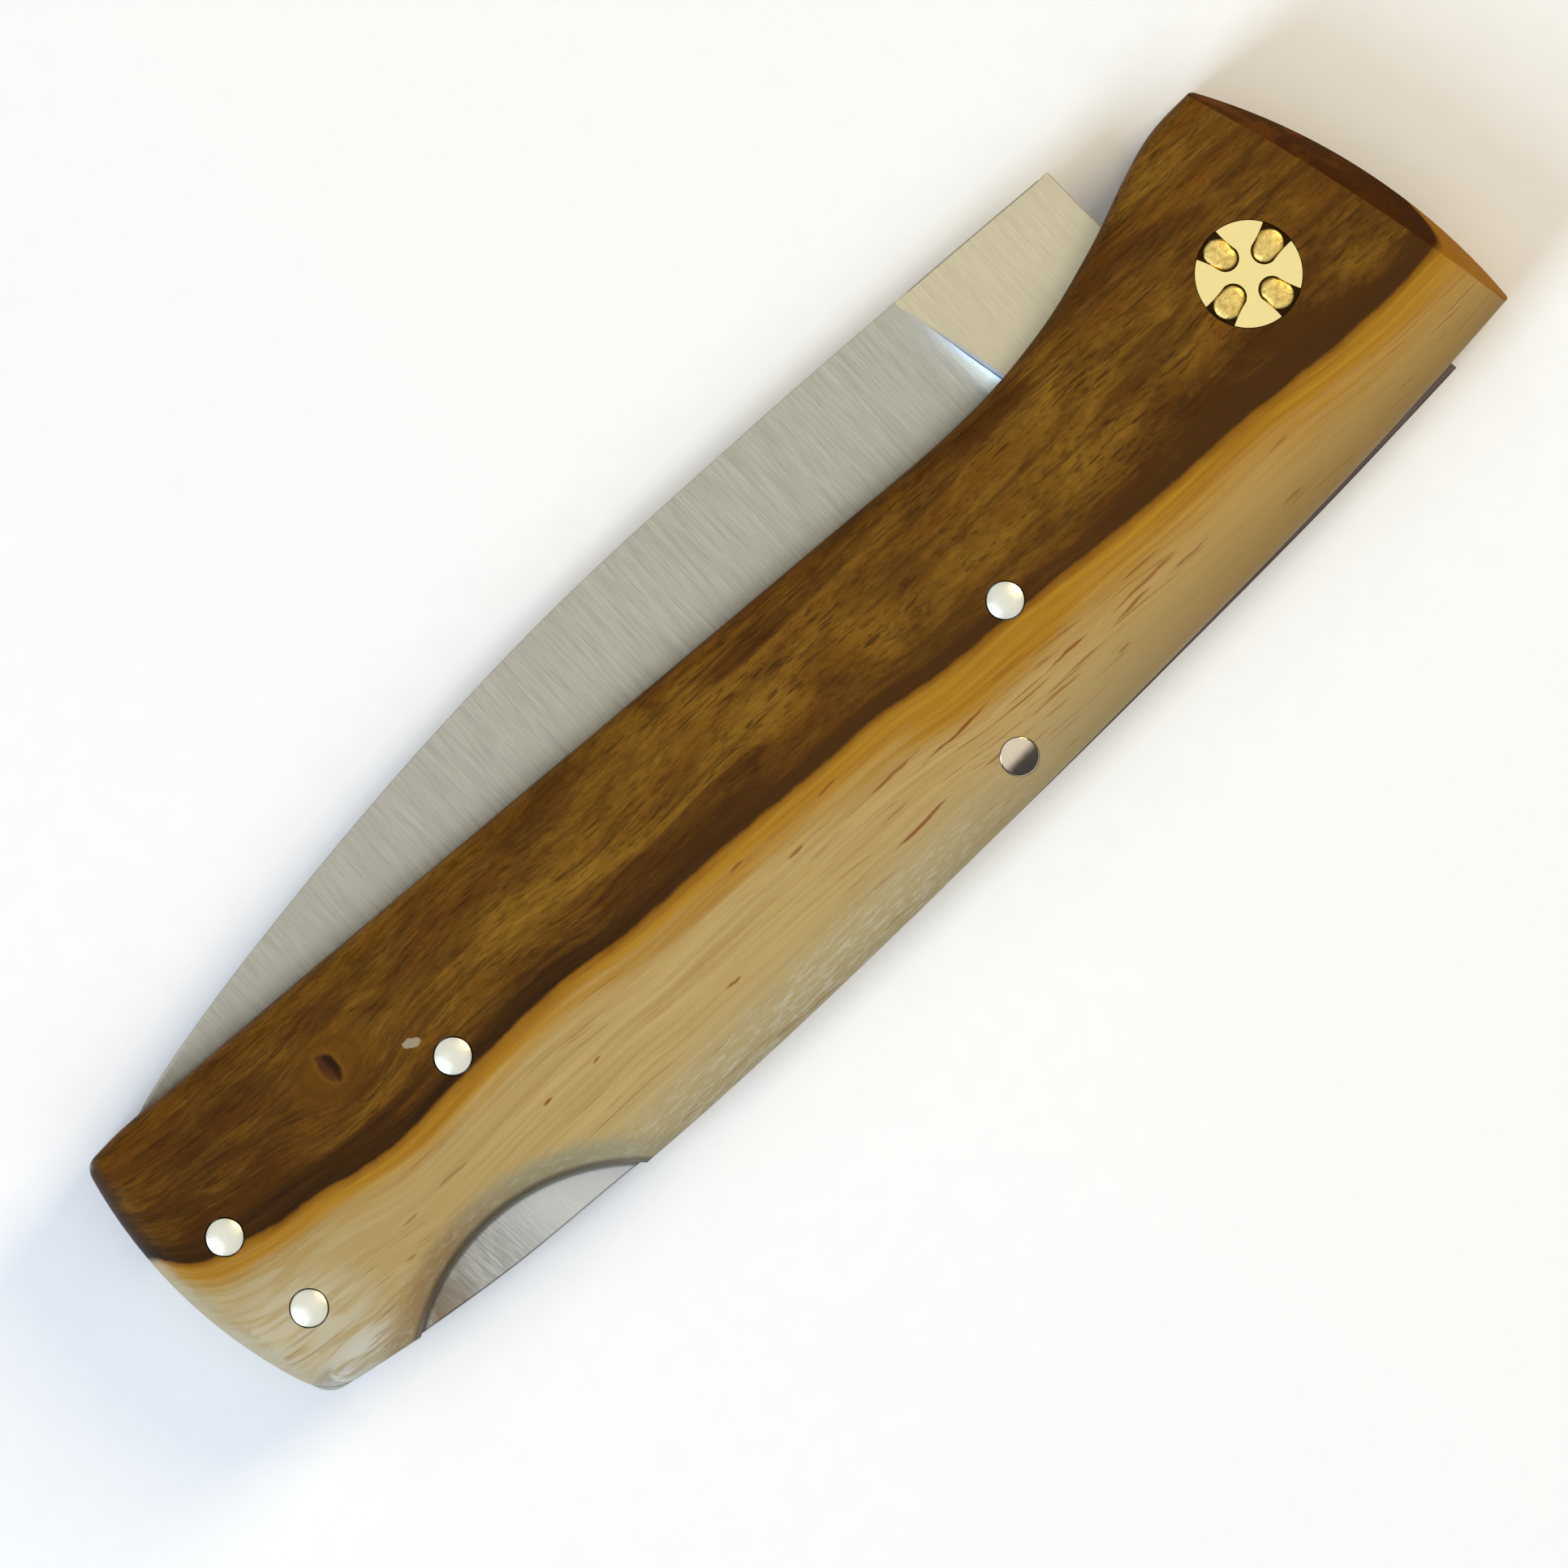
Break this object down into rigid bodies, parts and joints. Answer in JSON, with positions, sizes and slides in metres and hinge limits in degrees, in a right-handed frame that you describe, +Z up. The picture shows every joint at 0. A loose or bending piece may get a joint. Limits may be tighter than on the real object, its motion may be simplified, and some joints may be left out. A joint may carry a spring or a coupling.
{
  "type": "folding pocket knife",
  "caption": "Back-lock folding pocket knife, lying closed: two-tone wooden scales on steel liners, a flat-ground blade and a rocking lock bar with a thumb notch.",
  "frame": {"origin": "on the surface that the knife lies on, under the middle of the closed knife's box", "axes": "+X from the butt to the pivot end, +Y towards the blade's spine, +Z up through the handle's thickness"},
  "size_m": [0.1218, 0.035, 0.0157],
  "materials": {
    "scale_wood": "oiled and polished, dark heartwood beside pale sapwood",
    "liner_steel": "ground edges",
    "blade_steel": "satin, fine scratches across the blade",
    "bar_steel": "satin",
    "spring_steel": "hardened, dull",
    "pin_silver": "nickel silver, polished flush",
    "pin_steel": "polished",
    "head_brass": "polished cross, rough pockets",
    "washer_bronze": "rolled"
  },
  "bodies": {
    "handle": {"front_scale": "scale_wood", "back_scale": "scale_wood", "front_liner": "liner_steel", "back_liner": "liner_steel", "butt_spacer": "liner_steel", "lock_spring": "spring_steel", "scale_pin_front": "pin_silver", "scale_pin_rear": "pin_silver", "butt_pin_upper": "pin_silver", "butt_pin_lower": "pin_silver", "rocker_pin": "pin_steel", "spacer_bush_front": "liner_steel", "spacer_bush_rear": "liner_steel", "pivot_shaft": "pin_steel", "pivot_head_front": "head_brass", "pivot_head_back": "head_brass", "pivot_washer_front": "washer_bronze", "pivot_washer_back": "washer_bronze"},
    "blade": {"blade": "blade_steel"},
    "lock_bar": {"lock_bar": "bar_steel"}
  },
  "joints": [
    {"name": "blade_pivot", "type": "hinge", "parent": "handle", "child": "blade", "pos_m": [0.04819, -0.00075, 0.00785], "axis": [0, 0, -1], "range_deg": [0, 176]},
    {"name": "lock_rocker", "type": "hinge", "parent": "handle", "child": "lock_bar", "pos_m": [0.01119, -0.01445, 0.00785], "axis": [0, 0, -1], "range_deg": [-0.8, 3], "stiffness_Nm_per_rad": 6, "deforming": ["lock_spring"]}
  ]
}
